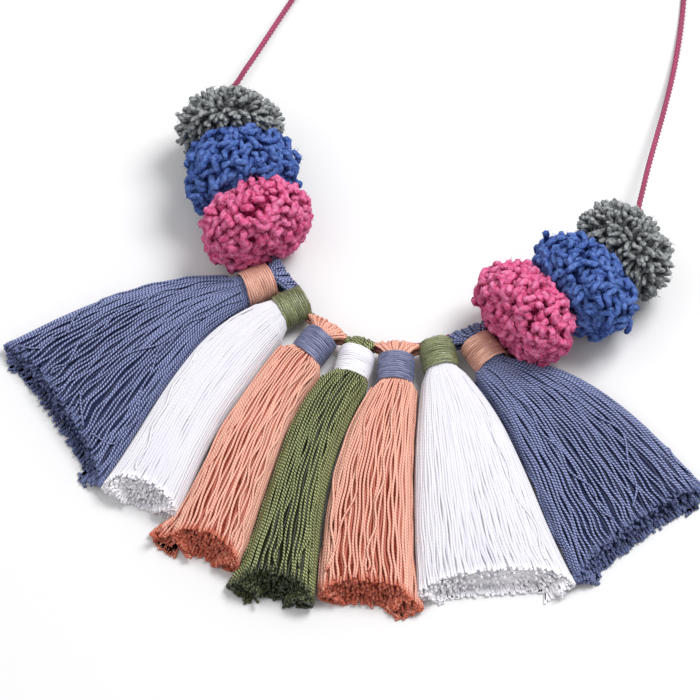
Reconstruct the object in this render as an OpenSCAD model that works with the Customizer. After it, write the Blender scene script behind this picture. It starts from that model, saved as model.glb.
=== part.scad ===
// Tassel necklace lying on a table.
// Seven thread tassels and six yarn pompoms are strung on one twisted cord, closed by a barrel clasp at the back.
// Origin: the centre of the neck opening, on the table. +Z is up and +Y runs from the middle tassel to the clasp.

/* [Loop] */
// Depth of the neck opening, from the cord at the middle tassel to the clasp's axis
neck_depth = 250; // [220:1:280]
// Thickness of the twisted cord
cord_d = 2; // [1.6:0.1:2.6]
// Straight stretch of a neck cord where it leaves the last pompom and where it enters the clasp
cord_lead = 3; // [2:0.5:5]

/* [Tassels] */
// Length of a skirt from its neck wrap to its cut ends
skirt_l = 82; // [65:1:100]
// Height of a skirt's bundle above the table
skirt_h = 13.5; // [11:0.5:16]
// Depth of the grooves between a skirt's locks
lock_depth = 1.1; // [0.5:0.1:1.6]
// How far the lower threads of a skirt reach past the upper ones
cut_slant = 4.5; // [0:0.5:7]
// How far one lock's cut end reaches past the next
cut_stagger = 1.2; // [0:0.1:2]
// Length of the thread loop that holds the cord behind a neck wrap
head_l = 5.6; // [5.4:0.2:7]
// Height of the thread loop
head_h = 8.8; // [7:0.2:10]

/* [Neck wraps] */
// Outer diameter of a wrap
wrap_d = 12.4; // [11:0.2:14]
// Length of a wrap
wrap_l = 11; // [8:0.5:14]
// Thickness of the wound thread
wrap_wall = 1; // [0.8:0.1:1.6]

/* [Pompoms] */
// Diameter of a pompom across the cord
pom_d = 35; // [31:0.5:38]
// Usual thickness of a squeezed pompom along the cord
pom_t = 20.5; // [18:0.5:24]
// How far a free pompom face bulges past its centre
pom_bulge = 12.5; // [11:0.5:15]
// Height of the tufts on a pompom
tuft_h = 1.4; // [0.6:0.1:2]
// How far a pompom sinks into its own pile where it rests
pom_settle = 1; // [0.5:0.1:2]

/* [Clasp] */
// Diameter of the barrel
clasp_d = 6; // [5:0.2:8]
// Length of the barrel
clasp_l = 16; // [12:0.5:20]
// Width and depth of the seam between the barrel's two halves
clasp_seam = 0.5; // [0.3:0.1:0.8]
// Wall round the cord at the barrel's ends
clasp_wall = 0.6; // [0.4:0.1:1]

/* [Fits] */
// Clearance round the cord in its holes
cord_fit = 0.2; // [0.1:0.05:0.4]
// Clearance between a neck wrap and what it holds
wrap_fit = 0.15; // [0.1:0.05:0.3]
// Gap between neighbours along the cord, and between skirts
piece_gap = 0.6; // [0.4:0.1:1]

/* [Hidden] */

periwinkle = [0.38, 0.43, 0.62];
ivory_white = [0.94, 0.94, 0.96];
salmon = [0.86, 0.58, 0.49];
olive = [0.42, 0.48, 0.24];
hot_pink = [0.82, 0.27, 0.50];
royal_blue = [0.24, 0.34, 0.64];
charcoal = [0.42, 0.43, 0.43];
raspberry = [0.72, 0.18, 0.38];
silver_tone = [0.78, 0.78, 0.80];

// One row for each tassel, from left to right. Turns are in degrees.
// Shares of a wrap's diameter and of a skirt's length and height are chosen to follow the lying threads.
HEAD_SHARE = 0; // width of the thread loop along the cord, of wrap_d
CORD_CLIMB = 1; // how steeply the cord runs back through the loop, away from the middle tassel
NECK_TURN = 2; // the neck's direction, from straight forwards towards +X
CUT_LEFT = 3; // where the cut end meets the seam on its left, of skirt_l
CUT_RIGHT = 4; // where the cut end meets the seam on its right, of skirt_l
TALL_SHARE = 5; // height of the bundle, of skirt_h
SKIRT_TINT = 6;
WRAP_TINT = 7;
tassels = [
    [0.98, 25, -47, 1.00, 1.01, 0.74, periwinkle, salmon],
    [0.95, 47, -42, 1.01, 0.88, 1.00, ivory_white, olive],
    [1.08, 14, -15, 0.98, 0.93, 0.96, salmon, periwinkle],
    [0.75, 0, 5, 1.00, 0.99, 1.04, olive, ivory_white],
    [1.10, 23, 17, 0.95, 0.96, 0.94, salmon, periwinkle],
    [0.85, 38, 30, 0.92, 1.00, 0.88, ivory_white, olive],
    [0.85, 32, 54, 1.00, 1.00, 0.76, periwinkle, salmon]
];
middle = 3;

// One row for each seam between two skirts, from left to right, with the free edges of the outer skirts at the ends.
// A row holds the seam's direction at its start, at one and two thirds of skirt_l, and at its end.
seams = [
    [-78, -54, -44, -38],
    [-42, -15, -7, -12],
    [-14, -12, 0, -6],
    [-18, 2, 4, 0],
    [-10, 3, 15, 16],
    [13, 18, 21, 23],
    [58, 42, 39, 43],
    [108, 76, 61, 58]
];

// One row for each pompom, from the tassels outwards
THICK_SHARE = 0; // length of cord that it takes up, of pom_t
POM_CLIMB = 1; // how steeply the cord runs back through it
FACING = 2; // how steeply the pompom's own axis runs back
CENTRE_SHARE = 3; // where its centre sits along that length
ASIDE = 4; // how far it sags outwards from the cord, of pom_d
LIFT_SHARE = 5; // height of the cord where it leaves, between the loops' height and the pompoms'
POM_TINT = 6;
poms_left = [
    [0.93, 46, 46, 0.50, 0, 1.00, hot_pink],
    [1.08, 62, 66, 0.50, 0, 1.00, royal_blue],
    [0.88, 57, 68, 0.26, 0.04, 0.86, charcoal]
];
poms_right = [
    [1.16, 28, 64, 0.50, 0.04, 1.00, hot_pink],
    [1.00, 62, 62, 0.56, 0, 1.00, royal_blue],
    [1.00, 80, 66, 0.42, 0.06, 0.86, charcoal]
];
last_loop_lift = 0.2; // the cord has risen by this share where it leaves the outer tassels
pom_names = ["pink", "blue", "grey"];

// The route of the neck cords, from the outer pompom to the clasp.
// A row holds the distance from the middle plane as a share of the exit's, the share of the way from the exit to
// the clasp line, and the share of the exit's height above the table.
neck_route = [
    [0.995, 0.045, 0.95],
    [0.985, 0.080, 0.90],
    [0.973, 0.120, 0.82],
    [0.962, 0.165, 0.72],
    [0.950, 0.220, 0.59],
    [0.935, 0.285, 0.42],
    [0.905, 0.385, 0.18],
    [0.858, 0.490, 0.02],
    [0.795, 0.590, 0.00],
    [0.705, 0.690, 0.00],
    [0.595, 0.780, 0.00],
    [0.460, 0.862, 0.00],
    [0.325, 0.930, 0.05],
    [0.210, 0.980, 0.11]
];

core_r = wrap_d / 2 - wrap_wall - wrap_fit;
neck_z = wrap_d / 2;
pom_z = pom_d / 2 - pom_settle;
hole_r = cord_d / 2 + cord_fit;
hole_over = cord_d / 2; // how far a hole's cutter reaches past the piece
loop_share = 0.58; // the cord passes through the loop at this share of its length
seat = loop_share * head_l;
cord_sides = 8;
route_samples = 2;

function mix(a, b, t) = a * (1 - t) + b * t;
function clamp01(t) = max(0, min(1, t));
function ease(t) = clamp01(t) * clamp01(t) * (3 - 2 * clamp01(t));
function unit(v) = v / norm(v);
function flat(p) = [p.x, p.y];
function forward(turn) = [sin(turn), -cos(turn)];
function rightward(turn) = [cos(turn), sin(turn)];
function keep_sign_pow(v, e) = sign(v) * pow(abs(v), e);
function running(start, steps) =
    [for (i = 0, p = start; i <= len(steps); p = i < len(steps) ? p + steps[i] : p, i = i + 1) p];

// The cord bends only between the pieces, so each piece holds one straight step of it.
function lift_z(share) = mix(neck_z, pom_z, share);
function loop_step(k) = tassels[k][HEAD_SHARE] * wrap_d + piece_gap;
function side_poms(side) = side < 0 ? poms_left : poms_right;
function side_lengths(side) = concat(
    [for (i = [1:3]) loop_step(middle + side * i)],
    [for (p = side_poms(side)) p[THICK_SHARE] * pom_t]
);
function side_climbs(side) = concat(
    [for (i = [1:3]) tassels[middle + side * i][CORD_CLIMB]],
    [for (p = side_poms(side)) p[POM_CLIMB]]
);
function side_lifts(side) = concat([0, 0, 0, last_loop_lift], [for (p = side_poms(side)) p[LIFT_SHARE]]);
function side_bends(side) =
    let (
        lengths = side_lengths(side),
        climbs = side_climbs(side),
        start = [side * loop_step(middle) / 2, -neck_depth / 2],
        plan = running(start, [for (i = [0:5]) lengths[i] * [side * cos(climbs[i]), sin(climbs[i])]]),
        lifts = side_lifts(side)
    )
    [for (i = [0:6]) [plan[i].x, plan[i].y, lift_z(lifts[i])]];

bends_left = side_bends(-1);
bends_right = side_bends(1);
front_route = concat([for (i = [6:-1:0]) bends_left[i]], bends_right);
function loop_ends(k) = [front_route[k + 3], front_route[k + 4]];

// Where each tassel's neck and skirt start
function loop_centre(k) = let (ends = loop_ends(k)) flat((ends[0] + ends[1]) / 2);
function skirt_start(k) =
    loop_centre(k) + forward(tassels[k][NECK_TURN]) * (seat + wrap_l + 2 * wrap_fit);

// A seam is a smooth line on the table that two neighbouring skirts share.
seam_steps = 16;
seam_extra = 2;
function seam_turn(s, f) = lookup(f, [for (i = [0:3]) [i / 3, seams[s][i]]]);
function seam_start(s) =
    s == 0 ? skirt_start(0) - rightward(tassels[0][NECK_TURN]) * wrap_d / 2 :
    s == 7 ? skirt_start(6) + rightward(tassels[6][NECK_TURN]) * wrap_d / 2 :
    (skirt_start(s - 1) + skirt_start(s)) / 2;
function seam_line(s) = running(seam_start(s), [
    for (i = [0:seam_steps + seam_extra - 1]) skirt_l / seam_steps * forward(seam_turn(s, (i + 0.5) / seam_steps))
]);
seam_lines = [for (s = [0:7]) seam_line(s)];
function seam_at(s, t) =
    let (at = t * seam_steps, i = floor(at))
    mix(seam_lines[s][i], seam_lines[s][i + 1], at - i);

// A tassel is swept through rings of points. The points over the top come first, from left to right,
// then the points underneath, from right to left.
locks = 7;
top_points = 2 * locks + 1;
under = [[0.95, 0.12, -30], [0.72, 0, -60], [0, 0, -90], [-0.72, 0, -120], [-0.95, 0.12, -150]];
ring_points = top_points + len(under);
side_share = 0.3; // height of a skirt's sides, as a share of its middle's
function ring_angle(i) = i < top_points ? 180 * (1 - i / (top_points - 1)) : under[i - top_points][2];
function dome(i) =
    i < top_points
        ? [
            keep_sign_pow(cos(ring_angle(i)), 0.85),
            mix(side_share, 1, pow(abs(sin(ring_angle(i))), 0.75))
        ]
        : [under[i - top_points][0], under[i - top_points][1]];
function is_groove(i) = i < top_points && i > 0 && i < top_points - 1 && i % 2 == 0;
function is_crest(i) = i < top_points && i % 2 == 1;

// The loop's outline: the distance behind the wrap, the width and the height, as shares of its own sizes
loop_rings = [[1, 0.4, 0.3], [0.95, 0.68, 0.62], [0.78, 0.86, 0.9], [loop_share, 1, 1], [0.2, 0.95, 0.97]];
skirt_heights = [[0, 0.92], [0.15, 1], [0.45, 1], [0.8, 0.94], [1, 0.88]];
skirt_stations = [0.015, 0.03, 0.05, 0.1, 0.2, 0.33, 0.48, 0.64, 0.8, 0.93, 1];
spread_share = 0.05; // the bundle has opened out to its seams at this share of the skirt
cut_from = 0.8; // the ends are cut askew from this share of the skirt on
edge_ease = 0.8; // how much less the cut ends are staggered at the seams

function round_ring(k, ahead, half_w, half_h) =
    let (
        turn = tassels[k][NECK_TURN],
        at = loop_centre(k) + forward(turn) * ahead,
        across = rightward(turn) * half_w
    )
    [for (i = [0:ring_points - 1])
        let (a = ring_angle(i), p = at + across * cos(a))
        [p.x, p.y, neck_z + half_h * sin(a)]];

function skirt_ring(k, t) =
    let (
        row = tassels[k],
        left = seam_at(k, t * row[CUT_LEFT]),
        right = seam_at(k + 1, t * row[CUT_RIGHT]),
        open = ease(t / spread_share),
        wide = norm(right - left),
        along = unit([right.y - left.y, left.x - right.x]),
        half_full = (right - left) / 2 * (1 - piece_gap / wide),
        straight = skirt_start(k) + forward(row[NECK_TURN]) * t * skirt_l,
        centre = mix(straight, (left + right) / 2, open),
        half = mix(rightward(row[NECK_TURN]) * core_r, half_full, open),
        tall = skirt_h * row[TALL_SHARE] * lookup(t, skirt_heights),
        cut = ease((t - cut_from) / (1 - cut_from))
    )
    [for (i = [0:ring_points - 1])
        let (
            a = ring_angle(i),
            d = dome(i),
            groove = is_groove(i) ? lock_depth * open : 0,
            u = mix(cos(a), d.x, open),
            z = mix(neck_z + core_r * sin(a), tall * d.y - groove, open),
            ragged = is_crest(i) ? cut_stagger : 0,
            inside = 1 - edge_ease * pow(abs(d.x), 4),
            p = centre + half * u + along * cut * inside * (ragged - cut_slant * z / tall)
        )
        [p.x, p.y, max(0, z)]];

function tassel_rings(k) =
    let (half_w = tassels[k][HEAD_SHARE] * wrap_d / 2, half_h = head_h / 2)
    concat(
        [for (r = loop_rings) round_ring(k, seat - r[0] * head_l, half_w * r[1], half_h * r[2])],
        [round_ring(k, seat - wrap_fit, core_r, core_r)],
        [round_ring(k, seat + wrap_l + 2 * wrap_fit, core_r, core_r)],
        [for (t = skirt_stations) skirt_ring(k, t)]
    );

// Closes a stack of rings, each with a centre point at the two ends
module swept(rings) {
    sides = len(rings[0]);
    last = len(rings) - 1;
    points = concat([for (r = rings) for (p = r) p], [ring_middle(rings[0]), ring_middle(rings[last])]);
    first_middle = sides * (last + 1);
    walls = [for (r = [0:last - 1]) for (i = [0:sides - 1])
        let (j = (i + 1) % sides, a = r * sides + i, b = r * sides + j)
        each [[a, b, b + sides], [a, b + sides, a + sides]]];
    ends = [for (i = [0:sides - 1])
        let (j = (i + 1) % sides)
        each [[first_middle, j, i], [first_middle + 1, last * sides + i, last * sides + j]]];
    polyhedron(points = points, faces = concat(walls, ends), convexity = 6);
}
function ring_middle(ring) = [for (p = ring) 1] * ring / len(ring);

// A hole along a straight step of the cord, open at both ends
module cord_hole(from, to) {
    run = to - from;
    translate(from - hole_over * unit(run))
        rotate([0, acos(run.z / norm(run)), atan2(run.y, run.x)])
            cylinder(r = hole_r, h = norm(run) + 2 * hole_over, $fn = 48);
}

// The bundle of threads: a loop that holds the cord, the core inside the wrap, and the skirt in fused locks
module tassel(k) {
    ends = loop_ends(k);
    color(tassels[k][SKIRT_TINT])
        difference() {
            swept(tassel_rings(k));
            cord_hole(ends[0], ends[1]);
        }
}

// Thread wound round the bundle's neck
module neck_wrap(k) {
    turn = tassels[k][NECK_TURN];
    at = loop_centre(k) + forward(turn) * (seat + wrap_fit);
    inner_r = core_r + wrap_fit;
    outer_r = wrap_d / 2;
    edge = wrap_wall / 2;
    color(tassels[k][WRAP_TINT])
        translate([at.x, at.y, neck_z])
            rotate([0, 0, turn])
                rotate([90, 0, 0])
                    rotate_extrude($fn = 64)
                        polygon([
                            [inner_r, 0],
                            [outer_r - edge, 0],
                            [outer_r, edge],
                            [outer_r, wrap_l - edge],
                            [outer_r - edge, wrap_l],
                            [inner_r, wrap_l]
                        ]);
}

// A pompom is a ball of yarn tufts squeezed against the planes halfway to its neighbours.
pom_rings = 11;
pom_sides = 20;
pom_fullness = 0.8;
function pom_point(centre, axis, lean, halves, i, j) =
    let (
        polar = 180 * i / pom_rings,
        round_angle = 360 * (j + (i % 2) / 2) / pom_sides,
        tuft = i % 2 == 0 ? tuft_h / 2 : -tuft_h / 2,
        r = (pom_d / 2 + tuft) * pow(sin(polar), pom_fullness),
        q = r * cos(round_angle),
        f = cos(polar) > 0 ? 0 : 1,
        reach = halves[f] - q * tan(lean[f]),
        s = -keep_sign_pow(cos(polar), pom_fullness) * reach,
        p = centre + axis * s + [-axis.y, axis.x] * q
    )
    [p.x, p.y, max(0, pom_z + r * sin(round_angle))];

module pompom(side, n) {
    poms = side_poms(side);
    row = poms[n];
    bends = side < 0 ? bends_left : bends_right;
    from = bends[n + 3];
    to = bends[n + 4];
    outer = n == len(poms) - 1;
    axis = [side * cos(row[FACING]), sin(row[FACING])];
    across = [-axis.y, axis.x];
    centre = mix(flat(from), flat(to), row[CENTRE_SHARE]) - side * row[ASIDE] * pom_d * across;
    // The planes that squeeze it: how far each leans from its own faces, and how far away it is at the centre
    lean = [
        n == 0 ? 0 : side * (row[FACING] - poms[n - 1][FACING]) / 2,
        outer ? 0 : side * (poms[n + 1][FACING] - row[FACING]) / 2
    ];
    to_near = centre - flat(from);
    to_far = flat(to) - centre;
    halves = [
        to_near * axis - (to_near * across) * tan(lean[0]) - piece_gap / 2,
        outer ? pom_bulge : to_far * axis + (to_far * across) * tan(lean[1]) - piece_gap / 2
    ];
    // Its hole goes right through a free face that bulges past the cord's bend
    past_bend = outer ? max(0, pom_bulge - to_far * axis) : 0;
    poles = [for (s = [-halves[0], halves[1]]) centre + axis * s];
    rings = [
        for (i = [1:pom_rings - 1]) [for (j = [0:pom_sides - 1]) pom_point(centre, axis, lean, halves, i, j)]
    ];
    color(row[POM_TINT])
        difference() {
            ball(rings, [for (p = poles) [p.x, p.y, pom_z]]);
            cord_hole(from, to + past_bend * unit(to - from));
        }
}

// Closes a stack of rings on two poles
module ball(rings, poles) {
    sides = len(rings[0]);
    last = len(rings) - 1;
    points = concat([for (r = rings) for (p = r) p], poles);
    pole = sides * (last + 1);
    walls = [for (r = [0:last - 1]) for (i = [0:sides - 1])
        let (j = (i + 1) % sides, a = r * sides + i, b = r * sides + j)
        each [[a, b + sides, b], [a, a + sides, b + sides]]];
    ends = [for (i = [0:sides - 1])
        let (j = (i + 1) % sides)
        each [[pole, i, j], [pole + 1, last * sides + j, last * sides + i]]];
    polyhedron(points = points, faces = concat(walls, ends), convexity = 4);
}

// A cord is a tube swept along its route
function route_direction(route, i) =
    let (last = len(route) - 1)
    i == 0 ? unit(route[1] - route[0]) :
    i == last ? unit(route[last] - route[last - 1]) :
    unit(unit(route[i] - route[i - 1]) + unit(route[i + 1] - route[i]));
function cord_ring(route, i) =
    let (ahead = route_direction(route, i), across = unit(cross(ahead, [0, 0, 1])), over = cross(across, ahead))
    [for (j = [0:cord_sides - 1])
        let (a = 360 * (j + 0.5) / cord_sides)
        route[i] + cord_d / 2 * (cos(a) * across + sin(a) * over)];
module cord(route) {
    color(raspberry)
        swept([for (i = [0:len(route) - 1]) cord_ring(route, i)]);
}

// A smooth curve through the route's points
function curve_at(p, i, t) =
    let (
        last = len(p) - 1,
        a = p[max(0, i - 1)],
        b = p[i],
        c = p[i + 1],
        d = p[min(last, i + 2)]
    )
    (2 * b + (c - a) * t + (2 * a - 5 * b + 4 * c - d) * t * t + (3 * b - a - 3 * c + d) * t * t * t) / 2;
function smooth_route(p) = concat(
    [for (i = [0:len(p) - 2]) for (s = [0:route_samples - 1]) curve_at(p, i, s / route_samples)],
    [p[len(p) - 1]]
);

// A neck cord leaves the last pompom in line with its hole, and enters the clasp in line with the barrel
function neck_cord_route(side) =
    let (
        bends = side < 0 ? bends_left : bends_right,
        exit = bends[6],
        lead = exit + cord_lead * unit(bends[6] - bends[5]),
        lie_z = cord_d / 2,
        clasp_end = [side * clasp_l / 2, neck_depth / 2, clasp_d / 2],
        way = [for (r = neck_route) [
            exit.x * r[0],
            mix(exit.y, neck_depth / 2, r[1]),
            mix(lie_z, exit.z, r[2])
        ]]
    )
    concat(
        [exit],
        smooth_route(concat([lead], way, [clasp_end + [side * cord_lead, 0, 0]])),
        [clasp_end]
    );

// A two-part barrel with a seam line round its middle
module clasp() {
    r = clasp_d / 2;
    neck_r = cord_d / 2 + clasp_wall;
    half = clasp_l / 2;
    color(silver_tone)
        translate([0, neck_depth / 2, r])
            rotate([0, 90, 0])
                rotate_extrude($fn = 64)
                    polygon([
                        [0, -half],
                        [neck_r, -half],
                        [r, -half + (r - neck_r)],
                        [r, -clasp_seam],
                        [r - clasp_seam, 0],
                        [r, clasp_seam],
                        [r, half - (r - neck_r)],
                        [neck_r, half],
                        [0, half]
                    ]);
}

for (k = [0:6]) {
    tassel(k);
    neck_wrap(k);
}
for (n = [0:2]) {
    pompom(-1, n);
    pompom(1, n);
}
cord(front_route);  // front_cord
cord(neck_cord_route(-1));  // neck_cord_left
cord(neck_cord_route(1));  // neck_cord_right
clasp();
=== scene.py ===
# A necklace lying on a table: seven thread tassels and six yarn pompoms on one twisted cord.
# Lengths are in metres and turns in degrees, in the CAD model's frame: the origin is the centre of the neck
# opening, on the table, +Z is up and +Y runs from the middle tassel to the clasp.
import math
from collections import namedtuple

import bpy
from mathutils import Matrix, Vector


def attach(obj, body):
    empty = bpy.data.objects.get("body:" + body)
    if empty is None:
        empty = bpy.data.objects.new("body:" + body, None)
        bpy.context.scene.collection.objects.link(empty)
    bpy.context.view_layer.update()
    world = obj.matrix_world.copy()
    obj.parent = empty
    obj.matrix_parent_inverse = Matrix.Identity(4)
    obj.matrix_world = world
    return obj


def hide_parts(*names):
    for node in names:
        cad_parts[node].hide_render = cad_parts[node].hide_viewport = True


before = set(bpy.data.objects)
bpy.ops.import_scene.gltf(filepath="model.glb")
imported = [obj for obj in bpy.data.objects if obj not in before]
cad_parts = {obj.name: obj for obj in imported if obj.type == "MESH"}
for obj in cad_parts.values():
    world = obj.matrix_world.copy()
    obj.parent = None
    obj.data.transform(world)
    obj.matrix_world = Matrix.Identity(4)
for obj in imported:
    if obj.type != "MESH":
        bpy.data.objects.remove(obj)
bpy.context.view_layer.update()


# Camera: a long lens about a metre away, a little to the right of the middle tassel. It looks down at the table at
# 62 degrees.
def placed(name, data):
    """A new object in the scene."""
    made = bpy.data.objects.new(name, data)
    bpy.context.scene.collection.objects.link(made)
    return made


camera_turn, camera_rise, camera_distance = math.radians(20), math.radians(62), 1.1
looked_at = Vector((-0.0036, -0.1255, 0))
to_camera = Vector((
    math.sin(camera_turn) * math.cos(camera_rise),
    -math.cos(camera_turn) * math.cos(camera_rise),
    math.sin(camera_rise),
))
camera = placed("camera", bpy.data.cameras.new("camera"))
camera.data.sensor_width = 36
camera.data.lens = 173
camera.data.clip_start, camera.data.clip_end = 0.1, 10
camera.location = looked_at + to_camera * camera_distance
camera.rotation_euler = to_camera.to_track_quat("Z", "Y").to_euler()
bpy.context.scene.camera = camera


# Cord: three raspberry strands laid up into one limp cord, 2 mm thick and about 630 mm round with its clasp.
# It runs straight through each thread loop and pompom and bends between them. Behind the outer pompoms it comes
# down to the table and goes back to the clasp.
class Wire:
    """A socket in a node tree. Sums on it add Math nodes, and add() puts in any other node."""

    def __init__(self, tree, socket=None):
        self.tree = tree
        self.socket = socket

    def add(self, kind, settings=None, values=None, out=0):
        """Adds a node of a type, with its settings first, then the values or links of its sockets."""
        node = self.tree.nodes.new(kind)
        for name, value in (settings or {}).items():
            if name == "stops":
                while len(node.color_ramp.elements) < len(value):
                    node.color_ramp.elements.new(0.5)
                for stop, (place, colour) in zip(node.color_ramp.elements, value):
                    stop.position, stop.color = place, colour
            else:
                setattr(node, name, value)
        sockets = {s.name: s for s in reversed(node.inputs)}
        sockets.update({s.identifier: s for s in node.inputs})
        for name, value in (values or {}).items():
            for part in value if isinstance(value, list) else [value]:
                if isinstance(part, Wire):
                    self.tree.links.new(part.socket, sockets[name])
                else:
                    sockets[name].default_value = part
        made = {s.identifier: s for s in node.outputs}
        return Wire(self.tree, made[out] if isinstance(out, str) else node.outputs[out])

    def other(self, name):
        """Another output of the node that this wire leaves."""
        return Wire(self.tree, {s.identifier: s for s in self.socket.node.outputs}[name])

    def math(self, operation, first, second=0.0):
        return self.add("ShaderNodeMath", {"operation": operation}, {"Value": first, "Value_001": second})

    def vector_math(self, operation, *others, out="Vector", **more):
        values = {"Vector": self, **more}
        values.update({f"Vector_{i:03}": other for i, other in enumerate(others, 1)})
        return self.add("ShaderNodeVectorMath", {"operation": operation}, values, out)

    def sine(self):
        """A wave that comes round once for each whole number."""
        return self.math("SINE", self * (2 * math.pi))

    def held(self, low=0.0, high=1.0):
        """The value, kept between two others."""
        return self.math("MAXIMUM", self.math("MINIMUM", self, high), low)

    def __add__(self, other):
        return self.math("ADD", self, other)

    def __radd__(self, other):
        return self.math("ADD", other, self)

    def __sub__(self, other):
        return self.math("SUBTRACT", self, other)

    def __rsub__(self, other):
        return self.math("SUBTRACT", other, self)

    def __mul__(self, other):
        return self.math("MULTIPLY", self, other)

    def __rmul__(self, other):
        return self.math("MULTIPLY", other, self)

    def __truediv__(self, other):
        return self.math("DIVIDE", self, other)

    def __rtruediv__(self, other):
        return self.math("DIVIDE", other, self)

    def __pow__(self, other):
        return self.math("POWER", self, other)

    def __gt__(self, other):
        return self.math("GREATER_THAN", self, other)


def start_tree(name, sizes):
    """A Geometry Nodes tree with a named input for each size: an empty wire in it, and its inputs by name."""
    tree = bpy.data.node_groups.new(name, "GeometryNodeTree")
    kinds = {int: "NodeSocketInt", float: "NodeSocketFloat", tuple: "NodeSocketVector"}
    tree.interface.new_socket("Geometry", in_out="INPUT", socket_type="NodeSocketGeometry")
    for label, value in sizes.items():
        socket = tree.interface.new_socket(
            label, in_out="INPUT", socket_type=kinds.get(type(value), "NodeSocketMaterial")
        )
        if value is not None:
            socket.default_value = value
    tree.interface.new_socket("Geometry", in_out="OUTPUT", socket_type="NodeSocketGeometry")
    entry = tree.nodes.new("NodeGroupInput")
    return Wire(tree), {s.name: Wire(tree, s) for s in entry.outputs if s.name}


def realized(geometry):
    return geometry.add("GeometryNodeRealizeInstances", values={"Geometry": geometry})


def end_tree(geometry, *materials):
    """Ends a tree: what it made becomes real, and takes its material. A second one goes to the inner faces."""
    whole = realized(geometry)
    whole = geometry.add("GeometryNodeSetMaterial", values={"Geometry": whole, "Material": materials[0]})
    for inner in materials[1:]:
        chosen = named(geometry, "inner", "BOOLEAN")
        whole = geometry.add(
            "GeometryNodeSetMaterial", values={"Geometry": whole, "Selection": chosen, "Material": inner}
        )
    outlet = geometry.tree.nodes.new("NodeGroupOutput")
    geometry.tree.links.new(whole.socket, outlet.inputs["Geometry"])


def grow(name, source, tree, sizes):
    """Runs a tree on a mesh, and gives what it made as a plain piece."""
    seedling = placed(name + "_source", source)
    grower = seedling.modifiers.new("grow", "NODES")
    grower.node_group = tree
    labels = {s.name: s.identifier for s in tree.interface.items_tree if s.in_out == "INPUT"}
    for label, value in sizes.items():
        grower[labels[label]] = value
    bpy.context.view_layer.update()
    graph = bpy.context.evaluated_depsgraph_get()
    grown = bpy.data.meshes.new_from_object(
        seedling.evaluated_get(graph), preserve_all_data_layers=True, depsgraph=graph
    )
    bpy.data.objects.remove(seedling)
    return placed(name, grown)


def named(wire, name, kind="FLOAT"):
    return wire.add("GeometryNodeInputNamedAttribute", {"data_type": kind}, {"Name": name})


def store(geometry, name, value, kind="FLOAT", domain="POINT"):
    return geometry.add(
        "GeometryNodeStoreNamedAttribute",
        {"data_type": kind, "domain": domain},
        {"Geometry": geometry, "Name": name, "Value": value},
    )


def vector(wire, **parts):
    return wire.add("ShaderNodeCombineXYZ", values=parts)


def axes(place):
    """The X, Y and Z of a place or a direction."""
    x = place.add("ShaderNodeSeparateXYZ", values={"Vector": place}, out="X")
    return x, x.other("Y"), x.other("Z")


def round_section(wire, width):
    return wire.add("GeometryNodeCurvePrimitiveCircle", values={"Resolution": 6, "Radius": width / 2})


def sweep(curves, profile, scale=1.0):
    """Tubes along curves, with a UV map that runs once round each tube and along it in metres."""
    lined = store(curves, "along", curves.add("GeometryNodeSplineParameter", out="Length"))
    section = store(profile, "round", curves.add("GeometryNodeSplineParameter", out="Factor"))
    tubes = curves.add(
        "GeometryNodeCurveToMesh",
        values={"Curve": lined, "Profile Curve": section, "Scale": scale, "Fill Caps": True},
    )
    turn = named(curves, "round")
    middle = curves.add("GeometryNodeFieldOnDomain", {"domain": "FACE"}, {"Value": turn})
    closed = turn + ((middle - turn) > 0.25)  # on the last face the map runs on to 1, not back to 0
    mapped = store(tubes, "strand_map", vector(curves, X=closed, Y=named(curves, "along")), "FLOAT2", "CORNER")
    return curves.add("GeometryNodeSetShadeSmooth", values={"Geometry": mapped, "Shade Smooth": True})


def line_mesh(name, points):
    """A bare line of edges through points."""
    mesh = bpy.data.meshes.new(name)
    mesh.from_pydata([tuple(p) for p in points], [(i, i + 1) for i in range(len(points) - 1)], [])
    return mesh


def linear(red, green, blue):
    """A colour of 0 to 255, as a node wants it."""
    shares = [c / 255 for c in (red, green, blue)]
    return tuple(s / 12.92 if s < 0.04045 else ((s + 0.055) / 1.055) ** 2.4 for s in shares) + (1,)


def mix(first, second, share):
    return first * (1 - share) + second * share


def ease(share):
    held = min(1, max(0, share))
    return held * held * (3 - 2 * held)


def forward(turn):
    return Vector((math.sin(math.radians(turn)), -math.cos(math.radians(turn)), 0))


def rightward(turn):
    return Vector((math.cos(math.radians(turn)), math.sin(math.radians(turn)), 0))


# What is strung on the cord sets where it bends: the tassels from left to right, and each side's pompoms from the
# tassels outwards. Lengths are shares of a piece's own size, and climb is how steeply the cord goes through it.
Tassel = namedtuple("Tassel", "head climb turn cut_left cut_right tall")
tassels = [
    Tassel(0.98, 25, -47, 1.00, 1.01, 0.74),
    Tassel(0.95, 47, -42, 1.01, 0.88, 1.00),
    Tassel(1.08, 14, -15, 0.98, 0.93, 0.96),
    Tassel(0.75, 0, 5, 1.00, 0.99, 1.04),
    Tassel(1.10, 23, 17, 0.95, 0.96, 0.94),
    Tassel(0.85, 38, 30, 0.92, 1.00, 0.88),
    Tassel(0.85, 32, 54, 1.00, 1.00, 0.76),
]
Pompom = namedtuple("Pompom", "thick climb facing centre aside lift")
pompoms = {
    -1: [
        Pompom(0.93, 46, 46, 0.50, 0, 1.00),
        Pompom(1.08, 62, 66, 0.50, 0, 1.00),
        Pompom(0.88, 57, 68, 0.26, 0.04, 0.86),
    ],
    1: [
        Pompom(1.16, 28, 64, 0.50, 0.04, 1.00),
        Pompom(1.00, 62, 62, 0.56, 0, 1.00),
        Pompom(1.00, 80, 66, 0.42, 0.06, 0.86),
    ],
}
cord_d, cord_lead = 0.002, 0.003
wrap_d, piece_gap = 0.0124, 0.0006
pom_d, pom_t = 0.035, 0.0205
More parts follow.
